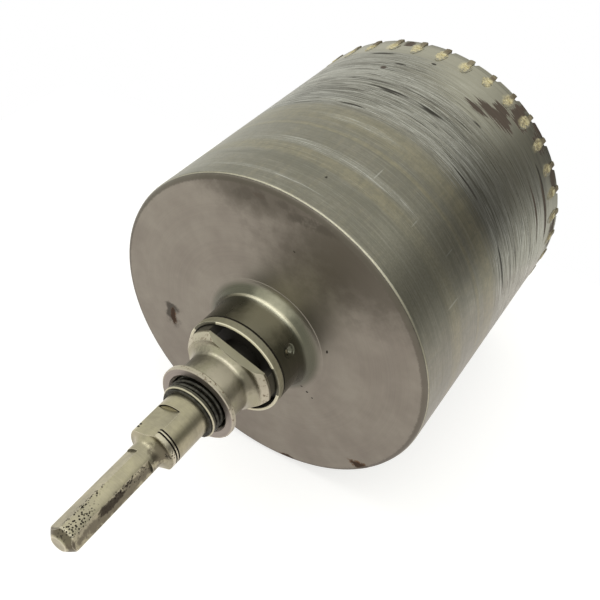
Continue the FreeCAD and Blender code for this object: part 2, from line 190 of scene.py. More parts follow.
# Barrel: drawn mild steel tube, turned, then scored in the hole. Olive-grey satin with bright and dark streaks.
barrel = {
    "steel": {"colour": "#918F84", "roughness": 0.3, "metal": 1.0},
    "oily": {"colour": "#75746A", "roughness": 0.36, "metal": 1.0},
    "scoured": {"colour": "#CFD0CB", "roughness": 0.26, "metal": 1.0},
    "stained": {"colour": "#424647", "roughness": 0.34, "metal": 1.0},
    "tan": {"colour": "#A59D80", "roughness": 0.42, "metal": 1.0},
    "pinkish": {"colour": "#968F85", "roughness": 0.4, "metal": 1.0},
    "pale": {"colour": "#B2B0A1", "roughness": 0.36, "metal": 1.0},
    "dust": {"colour": "#8D857A", "roughness": 0.9, "metal": 0.0},
    "scoredFrom": (199.0, 207.0),
    "scoredTo": (271.0, 256.0),
    "scoredElsewhere": 0.12,
    "streakReach": 9.0,
    "reliefDepth": 0.008,
    "reliefOfStreaks": 0.6,
    "bore": (77.6, 77.2),
    "rustHeight": 2.0,
    "tanBands": [(0, 177.0, 400, 1.6), (0, 155.5, 400, 4.2), (0, 190.0, 400, 7.0)],
    "darkBands": [(0, 175.4, 400, 0.6), (50.0, 167.0, 16.0, 0.9), (20.0, 148.0, 50.0, 3.0)],
    "whiteBands": [(9.0, 162.4, 20.0, 2.0), (6.0, 188.5, 12.0, 1.6), (-8.0, 231.0, 22.0, 4.0),
                   (20.0, 203.0, 40.0, 3.0), (-5.0, 136.5, 14.0, 0.8), (30.0, 213.0, 20.0, 3.0)],
    "crossScratches": [(20.5, 166.0, 0.2, 4.0), (38.0, 160.0, 0.2, 2.4), (52.0, 168.0, 0.2, 3.0),
                       (65.0, 157.0, 0.25, 5.0)],
    "darkZone": [(48.0, 212.0, 14.0, 11.0), (-25.0, 208.0, 12.0, 9.0), (56.0, 253.0, 14.0, 9.0)],
    "rustSpots": [(27.0, 246.4, 3.6, 2.0), (31.0, 252.0, 5.0, 2.6), (35.5, 253.6, 4.2, 3.6),
                  (33.4, 259.6, 2.6, 2.8), (38.5, 270.0, 2.2, 5.5), (41.0, 265.3, 3.0, 2.6),
                  (47.0, 275.0, 3.6, 1.8), (51.5, 269.6, 3.2, 2.8), (66.0, 272.0, 4.0, 2.6),
                  (75.0, 258.8, 9.0, 1.0), (70.0, 247.5, 8.0, 0.8), (-9.5, 273.0, 1.4, 2.6),
                  (-8.4, 242.4, 1.0, 1.0), (88.0, 271.0, 6.0, 3.2), (140.0, 262.0, 9.0, 4.0),
                  (-115.0, 250.0, 8.0, 3.0)],
    "grimeSpots": [(-4.5, 248.8, 1.6, 0.8), (5.0, 258.4, 0.7, 0.8), (-15.0, 258.5, 4.0, 0.7),
                   (1.5, 222.0, 6.0, 1.2), (17.0, 221.6, 4.5, 0.9), (-3.4, 201.5, 5.2, 0.7),
                   (41.5, 202.6, 6.0, 0.5), (10.6, 147.2, 0.5, 0.5), (31.0, 237.0, 2.4, 0.6),
                   (28.0, 229.0, 5.0, 0.5), (62.0, 259.5, 5.0, 0.7), (75.0, 203.5, 7.0, 0.6)],
    "paleRim": [(30.0, 257.0, 24.0, 19.0), (0.0, 268.0, 60.0, 6.0)],
    "highlightWall": [(47.0, 146.0, 15.0, 28.0), (49.0, 240.0, 18.0, 24.0), (88.0, 242.0, 20.0, 38.0)],
    "heel": [(79.45, 128.4, 0.3, 0.3)],
    "solder": [(-0.8, 268.6, 2.4, 4.4)],
}


def makeTubeSteel():
    material, tree = startMaterial("mildSteelTurnedAndScored")
    place = readPlace(tree)
    broad = turningMarks(tree, place, 5.0, 140.0)
    middle = turningMarks(tree, place, 1.3, 70.0, low=0.35, high=0.65, shift=31.0)
    fine = turningMarks(tree, place, 0.35, 35.0, shift=57.0)
    scratches = turningMarks(tree, place, 0.55, 40.0, low=0.57, high=0.65, shift=83.0)
    darkLines = turningMarks(tree, place, 0.75, 34.0, low=0.58, high=0.66, shift=12.0)
    hairlines = turningMarks(tree, place, 0.4, 18.0, low=0.56, high=0.62, shift=140.0)
    darkHairlines = turningMarks(tree, place, 0.4, 16.0, low=0.57, high=0.63, shift=170.0)
    patches = mottle(tree, place, 24.0)
    clouds = mottle(tree, place, 7.0, detail=4.0, shift=70.0)
    grain = mottle(tree, place, 1.0, detail=5.0)
    drips = dripMarks(tree, place, 1.8, 16.0, low=0.45, high=0.65)
    darkDrips = dripMarks(tree, place, 2.6, 12.0, low=0.45, high=0.65, shift=45.0)
    blotches = mottle(tree, place, 3.5, low=0.42, high=0.6, detail=6.0, shift=110.0)
    streaky = addNode(tree, "Math", {0: middle, 1: fine}, operation="ADD")
    # The scored zone starts and ends raggedly, streak by streak
    reached = addNode(tree, "Math", {0: middle, 1: barrel["streakReach"], 2: place["y"]},
                      operation="MULTIPLY_ADD")
    begun = addNode(tree, "MapRange", {0: reached, 1: barrel["scoredFrom"][0], 2: barrel["scoredFrom"][1]})
    ended = addNode(tree, "MapRange", {0: reached, 1: barrel["scoredTo"][0], 2: barrel["scoredTo"][1]})
    scored = addNode(tree, "Math", {0: begun, 1: ended}, operation="MULTIPLY")
    lightly = addNode(tree, "Math", {0: scored, 1: barrel["scoredElsewhere"]}, operation="MAXIMUM")

    surface = layOver(tree, barrel["steel"], barrel["oily"], patches, 0.6)
    surface = layOver(tree, surface, barrel["pinkish"], clouds, 0.3)
    tanHere = nearSpots(tree, place["wrapped"], barrel["tanBands"], broad, reach=0.8, soft=0.4)
    surface = layOver(tree, surface, barrel["tan"], tanHere, 0.55)
    unscored = addNode(tree, "Math", {0: 1.0, 1: begun}, operation="SUBTRACT")
    surface = layOver(tree, surface, barrel["tan"], drips, 0.2, unscored)
    surface = layOver(tree, surface, barrel["oily"], darkDrips, 0.25, unscored)
    darkBand = nearSpots(tree, place["wrapped"], barrel["darkBands"], broad, reach=0.6, soft=0.4)
    surface = layOver(tree, surface, barrel["oily"], darkBand, 0.5)
    surface = layOver(tree, surface, barrel["oily"], blotches, 0.35)
    surface = layOver(tree, surface, barrel["oily"], broad, 0.35)
    surface = layOver(tree, surface, barrel["scoured"], broad, 0.45, scored)
    surface = layOver(tree, surface, barrel["stained"], middle, 0.5, scored)
    darker = nearSpots(tree, place["wrapped"], barrel["darkZone"], streaky, reach=0.5, soft=0.5)
    surface = layOver(tree, surface, barrel["stained"], darker, 0.4)
    # Painted highlight: paler patches on the wall where it reflects more light
    lighter = nearSpots(tree, place["wrapped"], barrel["highlightWall"], middle, reach=0.4, soft=0.6)
    surface = layOver(tree, surface, barrel["pale"], lighter, 0.5)
    whiter = nearSpots(tree, place["wrapped"], barrel["whiteBands"], streaky, reach=0.5, soft=0.4)
    surface = layOver(tree, surface, barrel["scoured"], fine, 0.4, whiter)
    surface = layOver(tree, surface, barrel["scoured"], hairlines, 0.8, whiter)
    surface = layOver(tree, surface, barrel["scoured"], scratches, 1.0, lightly)
    surface = layOver(tree, surface, grimeAndShade, darkLines, 0.9, lightly)
    surface = layOver(tree, surface, barrel["scoured"], hairlines, 0.9, lightly)
    surface = layOver(tree, surface, grimeAndShade, darkHairlines, 0.9, lightly)
    surface = layOver(tree, surface, barrel["oily"], fine, 0.3)
    surface = layOver(tree, surface, barrel["oily"], grain, 0.35)
    nearRim = nearSpots(tree, place["wrapped"], barrel["paleRim"], middle, reach=0.6, soft=0.5)
    surface = layOver(tree, surface, barrel["pale"], nearRim, 0.6)
    crossed = nearSpots(tree, place["wrapped"], barrel["crossScratches"], grain, reach=0.6, soft=0.3)
    surface = layOver(tree, surface, barrel["scoured"], crossed, 0.3)
    grime = nearSpots(tree, place["wrapped"], barrel["grimeSpots"], middle, reach=0.9)
    surface = layOver(tree, surface, grimeAndShade, grime, 0.85)
    edges = addNode(tree, "Math", {0: fine, 1: 0.7, 2: middle}, operation="MULTIPLY_ADD")
    rusty = nearSpots(tree, place["wrapped"], barrel["rustSpots"], edges, reach=0.8, soft=0.1)
    rustColour = addNode(tree, "Mix", {0: fine, 6: rust["colour"], 7: rustDark["colour"]},
                         out=2, data_type="RGBA")
    rustTone = {"colour": rustColour, "roughness": 0.8, "metal": 0.0}
    surface = layOver(tree, surface, rustTone, rusty, 0.92)
    soldered = nearSpots(tree, readTooth(tree, place), barrel["solder"], clouds, reach=0.8, soft=0.35)
    surface = layOver(tree, surface, brazing["alloy"], soldered, 0.45)
    # Painted highlight: a thin bright line along the heel's edge
    heel = nearSpots(tree, place["profile"], barrel["heel"], grain, reach=0.4)
    surface = layOver(tree, surface, plate["rubbed"], heel, 0.4)
    inside = addNode(tree, "MapRange", {0: place["radius"], 1: barrel["bore"][0], 2: barrel["bore"][1]})
    surface = layOver(tree, surface, barrel["dust"], inside, 0.5)
    relief = addNode(tree, "Math", {0: fine, 1: barrel["reliefOfStreaks"], 2: grain}, operation="MULTIPLY_ADD")
    relief = addNode(tree, "Math", {0: rusty, 1: barrel["rustHeight"], 2: relief}, operation="MULTIPLY_ADD")
    return finishMaterial(material, surface, relief, barrel["reliefDepth"])


# End plate and neck: deep-drawn sheet steel, grey with a pink cast from old heat, satin and faintly mottled
plate = {
    "steel": {"colour": "#918C83", "roughness": 0.38, "metal": 1.0},
    "dull": {"colour": "#7F7871", "roughness": 0.44, "metal": 1.0},
    "dark": {"colour": "#5F5A52", "roughness": 0.42, "metal": 1.0},
    "olive": {"colour": "#5B5B50", "roughness": 0.27, "metal": 1.0},
    "neckHighlight": {"colour": "#BAB8A4", "roughness": 0.33, "metal": 1.0},
    # rubbed is worn bright steel; it is also the colour of the painted highlights on the heel, the neck's
    # fillet and the dimples
    "rubbed": {"colour": "#D6D0B8", "roughness": 0.3, "metal": 1.0},
    "neckEdge": (30.5, 26.5),
    "reliefDepth": 0.008,
    "reliefOfRings": 0.12,
    "neckHighlightPlace": [(16.0, 114.0, 22.0, 14.0)],
    "filletHighlightPlace": [(4.0, 122.3, 46.0, 30.0)],
    "rustSpots": [(54.0, 126.8, -54.1, 4.8, 3.0, 2.6), (15.3, 126.8, -76.2, 5.0, 3.0, 1.5),
                  (-52.8, 126.0, -16.0, 1.4, 3.0, 4.4), (-3.5, 126.8, 74.0, 2.6, 3.0, 1.0)],
    "smudges": [(-6.8, 126.0, 73.0, 6.0, 3.0, 2.6), (8.1, 126.0, 73.8, 3.4, 3.0, 1.6),
                (21.8, 126.0, 70.6, 8.0, 3.0, 1.8), (-53.4, 126.0, -14.5, 3.0, 3.0, 5.0)],
    "pits": [(32.1, 126.0, 8.3, 0.5, 2.0, 0.8), (23.5, 126.0, -22.4, 0.6, 2.0, 0.5),
             (20.7, 126.0, -20.1, 0.5, 2.0, 0.4), (26.3, 126.0, -24.7, 0.4, 2.0, 0.4),
             (14.0, 126.0, 54.0, 0.5, 2.0, 0.5)],
    "seam": [(23.5, 107.0, 0.7, 0.45), (79.3, 128.1, 0.6, 0.2)],
    "dimples": [(60.0, 114.2, 2.2, 1.0), (180.0, 114.2, 2.2, 1.0), (-60.0, 114.2, 2.2, 1.0)],
    "rim": [(78.2, 127.2, 1.5, 1.2)],
    "shaded": [(47.0, 126.0, 60.0, 42.0, 9.0, 22.0), (-2.0, 126.0, 77.0, 30.0, 9.0, 13.0)],
    "filletHighlight": [(24.6, 122.3, 0.6, 0.9)],
}


def makePlateSteel():
    material, tree = startMaterial("sheetSteelDeepDrawn")
    place = readPlace(tree)
    patches = mottle(tree, place, 26.0)
    clouds = mottle(tree, place, 6.0, detail=4.0, shift=40.0)
    grain = mottle(tree, place, 0.9, detail=5.0)
    rings = turningMarks(tree, place, 0.6, 90.0)
    onNeck = addNode(tree, "MapRange", {0: place["radius"], 1: plate["neckEdge"][0], 2: plate["neckEdge"][1]},
                     interpolation_type="SMOOTHSTEP")
    surface = layOver(tree, plate["steel"], plate["dull"], patches, 0.65)
    surface = layOver(tree, surface, plate["dull"], clouds, 0.3)
    surface = layOver(tree, surface, plate["olive"], onNeck)
    surface = layOver(tree, surface, plate["rubbed"], rings, 0.03)
    smudged = nearSpots(tree, place["mm"], plate["smudges"], clouds, reach=1.4, soft=0.6)
    surface = layOver(tree, surface, grimeAndShade, smudged, 0.65)
    pits = nearSpots(tree, place["mm"], plate["pits"], grain, reach=0.6)
    surface = layOver(tree, surface, grimeAndShade, pits)
    thinRust = nearSpots(tree, place["mm"], plate["rustSpots"], grain, reach=0.9)
    surface = layOver(tree, surface, rustLight, thinRust)
    thickRust = nearSpots(tree, place["mm"], plate["rustSpots"], clouds, reach=0.8)
    surface = layOver(tree, surface, rust, thickRust)
    shaded = nearSpots(tree, place["mm"], plate["shaded"], clouds, reach=0.3, soft=0.6)
    surface = layOver(tree, surface, plate["dark"], shaded, 0.85)
    rim = nearSpots(tree, place["profile"], plate["rim"], grain, reach=0.3)
    surface = layOver(tree, surface, plate["dark"], rim, 0.7)
    # Painted highlight: a soft lighter band on the top of the neck
    neckHighlight = nearSpots(tree, place["wrapped"], plate["neckHighlightPlace"], clouds, reach=0.3, soft=0.7)
    surface = layOver(tree, surface, plate["neckHighlight"], neckHighlight, 0.9, onNeck)
    # Painted highlight: a thin bright line round the top of the neck's fillet
    facingUp = nearSpots(tree, place["wrapped"], plate["filletHighlightPlace"], soft=0.5)
    filletHighlight = nearSpots(tree, place["profile"], plate["filletHighlight"])
    surface = layOver(tree, surface, plate["rubbed"], filletHighlight, 0.35, facingUp)
    # Painted highlight: a bright spot in each dimple
    dimples = nearSpots(tree, place["wrapped"], plate["dimples"], grain, reach=0.3, soft=0.5)
    surface = layOver(tree, surface, plate["rubbed"], dimples, 0.8, onNeck)
    seam = nearSpots(tree, place["profile"], plate["seam"], grain, reach=0.3)
    surface = layOver(tree, surface, grimeAndShade, seam)
    relief = addNode(tree, "Math", {0: rings, 1: plate["reliefOfRings"], 2: grain}, operation="MULTIPLY_ADD")
    return finishMaterial(material, surface, relief, plate["reliefDepth"])


# Arbor: heat-treated steel bar, turned and milled. Warm olive satin, with black pits near the shank's end.
arbor = {
    "steel": {"colour": "#AFA98F", "roughness": 0.3, "metal": 1.0},
    "dull": {"colour": "#8A8576", "roughness": 0.42, "metal": 1.0},
    "rubbed": {"colour": "#CFC9B6", "roughness": 0.28, "metal": 1.0},
    "darkBrown": {"colour": "#585145", "roughness": 0.4, "metal": 1.0},
    "pitSize": 0.95,
    "pitEdge": (0.44, 0.32),
    "pitDepth": -6.0,
    "bayonetFrom": (95.0, 99.0),
    "bayonetTo": (131.0, 126.0),
    "reliefDepth": 0.01,
    "edgeWear": 0.55,
    "grooves": [(10.3, 52.3, 0.5, 0.42), (10.3, 53.7, 0.5, 0.42), (10.0, 64.65, 0.37, 0.3)],
    "flatEnds": [(5.7, 42.95, 0.7, 0.3)],
    "lands": [(10.5, 53.0, 0.4, 0.3), (10.4, 51.0, 0.4, 0.9)],
    "tipBevel": [(5.2, 1.6, 1.6, 1.4)],
    "pitted": [(20.0, 8.0, 34.0, 6.5), (-2.0, 17.0, 14.0, 7.0), (56.0, 31.0, 10.0, 9.0)],
    "rusty": [(63.0, 19.5, 15.0, 5.0), (76.0, 23.0, 15.0, 7.0), (57.0, 22.0, 5.0, 8.0)],
    "brownShadePlace": [(86.0, 24.0, 32.0, 22.0), (54.0, 47.9, 38.0, 3.0)],
    "tipEdges": [(6.45, 3.1, 0.4, 0.4), (3.4, 0.0, 0.35, 0.35)],
    "freckled": [(74.0, 50.8, 14.0, 1.8), (72.0, 33.0, 12.0, 10.0)],
}


def makeArborSteel():
    material, tree = startMaterial("barSteelTurnedAndMilled")
    place = readPlace(tree)
    patches = mottle(tree, place, 9.0)
    clouds = mottle(tree, place, 2.2, detail=4.0, shift=20.0)
    grain = mottle(tree, place, 0.6, detail=5.0)
    marks = turningMarks(tree, place, 0.4, 30.0)
    # Pits are scattered cells: only the cells' centres show, and only inside the pitted zones
    cells = addNode(tree, "TexVoronoi", {"Vector": place["mm"], "Scale": 1 / arbor["pitSize"]})
    pits = addNode(tree, "MapRange", {0: cells, 1: arbor["pitEdge"][0], 2: arbor["pitEdge"][1]},
                   interpolation_type="SMOOTHSTEP")
    pitted = nearSpots(tree, place["wrapped"], arbor["pitted"], clouds, reach=0.9, soft=0.4)
    freckled = nearSpots(tree, place["wrapped"], arbor["freckled"], clouds, reach=1.2, soft=0.3)
    rusty = nearSpots(tree, place["wrapped"], arbor["rusty"], clouds, reach=0.8)
    surface = layOver(tree, arbor["steel"], arbor["dull"], patches, 0.6)
    surface = layOver(tree, surface, arbor["dull"], clouds, 0.3)
    surface = layOver(tree, surface, arbor["rubbed"], marks, 0.12)
    # Painted shade, tinted brown, on the lower right side of the shank and on the shoulder's fillet
    brownHere = nearSpots(tree, place["wrapped"], arbor["brownShadePlace"], clouds, reach=0.6, soft=0.3)
    surface = layOver(tree, surface, arbor["darkBrown"], brownHere, 0.75)
    lands = nearSpots(tree, place["profile"], arbor["lands"], grain, reach=0.5)
    surface = layOver(tree, surface, arbor["rubbed"], lands, 0.85)
    bevelled = nearSpots(tree, place["profile"], arbor["tipBevel"], clouds, reach=0.3)
    surface = layOver(tree, surface, arbor["darkBrown"], bevelled, 0.8)
    tipEdges = nearSpots(tree, place["profile"], arbor["tipEdges"], grain, reach=0.4)
    surface = layOver(tree, surface, arbor["rubbed"], tipEdges, 0.7)
    surface = layOver(tree, surface, arbor["rubbed"], wornEdges(tree, place, arbor["edgeWear"]))
    surface = layOver(tree, surface, grimeAndShade, pits, 1.0, pitted)
    surface = layOver(tree, surface, grimeAndShade, pits, 0.7, freckled)
    surface = layOver(tree, surface, rustDark, rusty, 0.7)
    # Grime in the collar's two grooves, and painted shade on the end wall of the spanner flat
    grooves = nearSpots(tree, place["profile"], arbor["grooves"], soft=0.1)
    surface = layOver(tree, surface, grimeAndShade, grooves)
    # Painted shade in the run-outs at the ends of the flats
    flatEnds = nearSpots(tree, place["profile"], arbor["flatEnds"], soft=0.1)
    surface = layOver(tree, surface, grimeAndShade, flatEnds, 0.6)
    # Painted shade blackens the bayonet, behind the sleeve
    begun = addNode(tree, "MapRange", {0: place["y"], 1: arbor["bayonetFrom"][0], 2: arbor["bayonetFrom"][1]})
    ended = addNode(tree, "MapRange", {0: place["y"], 1: arbor["bayonetTo"][0], 2: arbor["bayonetTo"][1]})
    surface = layOver(tree, surface, recessShade, begun, 1.0, ended)
    holes = addNode(tree, "Math", {0: pits, 1: pitted}, operation="MULTIPLY")
    relief = addNode(tree, "Math", {0: holes, 1: arbor["pitDepth"], 2: grain}, operation="MULTIPLY_ADD")
    return finishMaterial(material, surface, relief, arbor["reliefDepth"])


# Lock sleeve: turned steel, rubbed bright where fingers and the neck's mouth meet it, with brown in the bevels;
# a painted highlight lightens the top of its waist, and painted shade darkens its sides and its keys
sleeve = {
    "steel": {"colour": "#A19E88", "roughness": 0.27, "metal": 1.0},
    "face": {"colour": "#958D88", "roughness": 0.42, "metal": 1.0},
    "rubbed": {"colour": "#C9C2B0", "roughness": 0.32, "metal": 0.9},
    "brown": {"colour": "#6E5A44", "roughness": 0.7, "metal": 0.3},
    "shaded": {"colour": "#6B675A", "roughness": 0.35, "metal": 1.0},
    "flat": {"colour": "#DAD8C2", "roughness": 0.3, "metal": 1.0},
    "flatAngles": (18.7, 138.7, 258.7),
    "flatPlane": (16.42, 16.47),
    "flatFrom": (95.0, 95.2),
    "faceEdge": (79.1, 78.5),
    "keyRoot": (99.1, 99.3),
    "keyFace": (21.7, 21.5),
    "chipDepth": -5.0,
    "reliefDepth": 0.01,
    "edgeWear": 0.4,
    "waistHighlightPlace": [(28.0, 86.0, 24.0, 7.0)],
    "shadedPlace": [(62.0, 95.0, 18.0, 4.6), (-38.0, 89.0, 26.0, 6.0)],
    "bevelBand": [(20.6, 97.0, 1.6, 1.6)],
    "flangeRim": [(18.0, 79.2, 0.6, 1.9)],
}


def makeSleeveSteel():
    material, tree = startMaterial("sleeveSteelTurned")
    place = readPlace(tree)
    patches = mottle(tree, place, 8.0)
    clouds = mottle(tree, place, 2.0, detail=4.0, shift=20.0)
    grain = mottle(tree, place, 0.6, detail=5.0)
    marks = turningMarks(tree, place, 0.4, 30.0)
    onFace = addNode(tree, "MapRange", {0: place["y"], 1: sleeve["faceEdge"][0], 2: sleeve["faceEdge"][1]})
    surface = layOver(tree, sleeve["steel"], sleeve["face"], patches, 0.4)
    surface = layOver(tree, surface, sleeve["face"], onFace)
    surface = layOver(tree, surface, sleeve["rubbed"], marks, 0.12)
    # Painted highlight: the top of the waist is lighter
    waistHighlight = nearSpots(tree, place["wrapped"], sleeve["waistHighlightPlace"], clouds, reach=0.4, soft=0.6)
    surface = layOver(tree, surface, sleeve["rubbed"], waistHighlight, 0.85)
    shaded = nearSpots(tree, place["wrapped"], sleeve["shadedPlace"], clouds, reach=0.4, soft=0.6)
    surface = layOver(tree, surface, sleeve["shaded"], shaded, 0.95)
    bevel = nearSpots(tree, place["profile"], sleeve["bevelBand"], clouds, reach=0.3)
    surface = layOver(tree, surface, sleeve["rubbed"], bevel, 0.6)
    brownPatches = mottle(tree, place, 1.6, low=0.56, high=0.64, detail=4.0, shift=9.0)
    brownHere = addNode(tree, "Math", {0: bevel, 1: brownPatches}, operation="MULTIPLY")
    surface = layOver(tree, surface, sleeve["brown"], brownHere, 0.7)
    # The collar's flats are where the surface lies farthest out towards one of the three angles
    farthest = 0.0
    for angle in sleeve["flatAngles"]:
        outward = (math.sin(math.radians(angle)), 0, math.cos(math.radians(angle)))
        distance = addNode(tree, "VectorMath", {0: place["mm"], 1: outward},
                           out="Value", operation="DOT_PRODUCT")
        farthest = addNode(tree, "Math", {0: farthest, 1: distance}, operation="MAXIMUM")
    onFlat = addNode(tree, "MapRange", {0: farthest, 1: sleeve["flatPlane"][0], 2: sleeve["flatPlane"][1]})
    pastFlare = addNode(tree, "MapRange", {0: place["y"], 1: sleeve["flatFrom"][0], 2: sleeve["flatFrom"][1]})
    surface = layOver(tree, surface, sleeve["flat"], onFlat, 0.85, pastFlare)
    surface = layOver(tree, surface, sleeve["rubbed"], wornEdges(tree, place, sleeve["edgeWear"]), 0.9)
    # Painted shade darkens the keys inside the neck's mouth, to near black on their inner faces
    onKeys = addNode(tree, "MapRange", {0: place["y"], 1: sleeve["keyRoot"][0], 2: sleeve["keyRoot"][1]})
    surface = layOver(tree, surface, grimeAndShade, onKeys, 0.75)
    inward = addNode(tree, "MapRange", {0: place["radius"], 1: sleeve["keyFace"][0], 2: sleeve["keyFace"][1]})
    surface = layOver(tree, surface, recessShade, onKeys, 1.0, inward)
    rim = nearSpots(tree, place["profile"], sleeve["flangeRim"], grain, reach=0.5)
    chips = mottle(tree, place, 1.3, low=0.57, high=0.62, detail=4.0, shift=4.0)
    chipped = addNode(tree, "Math", {0: rim, 1: chips}, operation="MULTIPLY")
    surface = layOver(tree, surface, sleeve["rubbed"], rim, 0.6)
    surface = layOver(tree, surface, sleeve["brown"], chipped, 0.8)
    relief = addNode(tree, "Math", {0: chipped, 1: sleeve["chipDepth"], 2: grain}, operation="MULTIPLY_ADD")
    return finishMaterial(material, surface, relief, sleeve["reliefDepth"])


# Mouth ring: turned steel, its bore black with painted shade, its lip rubbed bright with a painted highlight
# between the sleeve's keys
mouth = {
    "steel": {"colour": "#C0BEA8", "roughness": 0.34, "metal": 1.0},
    "rubbed": {"colour": "#E4DEC6", "roughness": 0.35, "metal": 0.4},
    # oily is laid on the lip under the sleeve's keys as painted shade
    "oily": {"colour": "#5E5C50", "roughness": 0.45, "metal": 1.0},
    "bore": (22.3, 22.2),
    "reliefDepth": 0.01,
    "lip": [(22.9, 102.9, 0.9, 0.35)],
    "seam": [(23.5, 106.75, 0.6, 0.35)],
    "keys": [(angle, 104.0, 19.0, 99) for angle in (80, -160, -40)],
}


def makeMouthSteel():
    material, tree = startMaterial("ringSteelTurned")
    place = readPlace(tree)
    clouds = mottle(tree, place, 2.0, detail=4.0)
    grain = mottle(tree, place, 0.6, detail=5.0)
    marks = turningMarks(tree, place, 0.35, 30.0)
    keys = nearSpots(tree, place["wrapped"], mouth["keys"], clouds, reach=0.06, soft=0.04)
    lip = nearSpots(tree, place["profile"], mouth["lip"], grain, reach=0.3)
    free = addNode(tree, "Math", {0: 1.0, 1: keys}, operation="SUBTRACT")
    surface = layOver(tree, mouth["steel"], grimeAndShade, clouds, 0.25)
    surface = layOver(tree, surface, mouth["rubbed"], marks, 0.1)
    # Between the keys the lip is rubbed bright and carries a painted highlight; under the keys it gets painted
    # shade
    surface = layOver(tree, surface, mouth["rubbed"], lip, 1.0, free)
    surface = layOver(tree, surface, mouth["oily"], lip, 0.95, keys)
    seam = nearSpots(tree, place["profile"], mouth["seam"], grain, reach=0.3)
    surface = layOver(tree, surface, grimeAndShade, seam)
    # Painted shade blackens the bore
    inward = addNode(tree, "MapRange", {0: place["radius"], 1: mouth["bore"][0], 2: mouth["bore"][1]})
    surface = layOver(tree, surface, recessShade, inward)
    return finishMaterial(material, surface, grain, mouth["reliefDepth"])


# Spring, snap ring and set screw: phosphated spring steel, a matt black crust that rubs to grey on the crowns
phosphate = {
    "black": {"colour": "#33322E", "roughness": 0.5, "metal": 0.9},
    "grey": {"colour": "#7B7A70", "roughness": 0.4, "metal": 1.0},
    "reliefDepth": 0.01,
    "edgeWear": 0.25,
}


def makePhosphatedSteel():
    material, tree = startMaterial("springSteelPhosphated")
    place = readPlace(tree)
    clouds = mottle(tree, place, 1.6, low=0.35, high=0.7, detail=4.0)
    grain = mottle(tree, place, 0.3)
    surface = layOver(tree, phosphate["black"], phosphate["grey"], clouds, 0.35)
    surface = layOver(tree, surface, phosphate["grey"], wornEdges(tree, place, phosphate["edgeWear"]), 0.8)
    return finishMaterial(material, surface, grain, phosphate["reliefDepth"])


# Spring seat: a turned steel washer, dark with oil on its face and bright on its rim
seat = {
    "oily": {"colour": "#4A4942", "roughness": 0.45, "metal": 1.0},
    "bright": {"colour": "#C9C4AE", "roughness": 0.3, "metal": 1.0},
    "reliefDepth": 0.01,
    "rim": [(12.75, 72.5, 0.4, 0.34)],
}


def makeSeatSteel():
    material, tree = startMaterial("washerSteelTurned")
    place = readPlace(tree)
    clouds = mottle(tree, place, 1.6, detail=4.0)
    marks = turningMarks(tree, place, 0.3, 20.0)
    surface = layOver(tree, seat["oily"], seat["bright"], marks, 0.15)
    rim = nearSpots(tree, place["profile"], seat["rim"], clouds, reach=0.4)
    surface = layOver(tree, surface, seat["bright"], rim, 0.9)
    return finishMaterial(material, surface, marks, seat["reliefDepth"])


# Cutting tips: sintered tungsten carbide, ground once and worn in masonry. Dark olive-brown and dusty, with
# pale edges.
tips = {
    "carbide": {"colour": "#6E6652", "roughness": 0.5, "metal": 0.6},
    "dust": {"colour": "#9C927A", "roughness": 0.9, "metal": 0.0},
    "brown": {"colour": "#4F4032", "roughness": 0.8, "metal": 0.1},
    "edge": {"colour": "#BDB69C", "roughness": 0.4, "metal": 0.7},
    "count": 38,
    "pitch": 13.14,
    "solderUpTo": (273.4, 270.6),
    "solderReach": 2.4,
    "rimFrom": (60.0, 61.0),
    "reliefDepth": 0.03,
    "edgeWear": 0.25,
}


def makeCarbide():
    material, tree = startMaterial("tungstenCarbideSintered")
    place = readPlace(tree)
    clouds = mottle(tree, place, 2.6, low=0.35, high=0.65, detail=4.0)
    brown = mottle(tree, place, 14.0, low=0.45, high=0.6, shift=60.0)
    grain = mottle(tree, place, 0.4, detail=4.0)
    surface = layOver(tree, tips["carbide"], tips["dust"], clouds, 0.6)
    surface = layOver(tree, surface, tips["brown"], brown, 0.6)
    surface = layOver(tree, surface, tips["edge"], wornEdges(tree, place, tips["edgeWear"]), 0.5)
    # Solder crept a little way up the foot of each tip
    reached = addNode(tree, "Math", {0: clouds, 1: tips["solderReach"], 2: place["y"]},
                      operation="MULTIPLY_ADD")
    foot = addNode(tree, "MapRange", {0: reached, 1: tips["solderUpTo"][0], 2: tips["solderUpTo"][1]})
    onRim = addNode(tree, "MapRange", {0: place["radius"], 1: tips["rimFrom"][0], 2: tips["rimFrom"][1]})
    surface = layOver(tree, surface, brazing["alloy"], foot, 1.0, onRim)
    return finishMaterial(material, surface, grain, tips["reliefDepth"])


# Braze: silver solder that ran out of the joint and froze. Cream-yellow, wrinkled and dull.
brazing = {
    "alloy": {"colour": "#DAD1AA", "roughness": 0.5, "metal": 0.6},
    "dull": {"colour": "#A0977C", "roughness": 0.7, "metal": 0.3},
    "film": {"colour": "#9B988A", "roughness": 0.4, "metal": 1.0},
    "reliefDepth": 0.12,
    "thick": [(-0.9, 269.2, 2.5, 4.8)],
    "stainedPlace": [(86.0, 270.0, 40.0, 30.0)],
}


def makeBraze():
    material, tree = startMaterial("silverSolderFrozen")
    place = readPlace(tree)
    clouds = mottle(tree, place, 1.2, low=0.35, high=0.65, detail=4.0)
    grain = mottle(tree, place, 0.6, detail=4.0)
    runs = turningMarks(tree, place, 1.6, 1.1, low=0.4, high=0.6, shift=5.0)
    thick = nearSpots(tree, readTooth(tree, place), brazing["thick"], runs, reach=0.7, soft=0.2)
    surface = layOver(tree, brazing["alloy"], brazing["dull"], clouds, 0.8)
    stained = nearSpots(tree, place["wrapped"], brazing["stainedPlace"], clouds, reach=0.6, soft=0.4)
    surface = layOver(tree, surface, rust, stained, 0.5)
    surface = layOver(tree, brazing["film"], surface, thick)
    return finishMaterial(material, surface, grain, brazing["reliefDepth"])


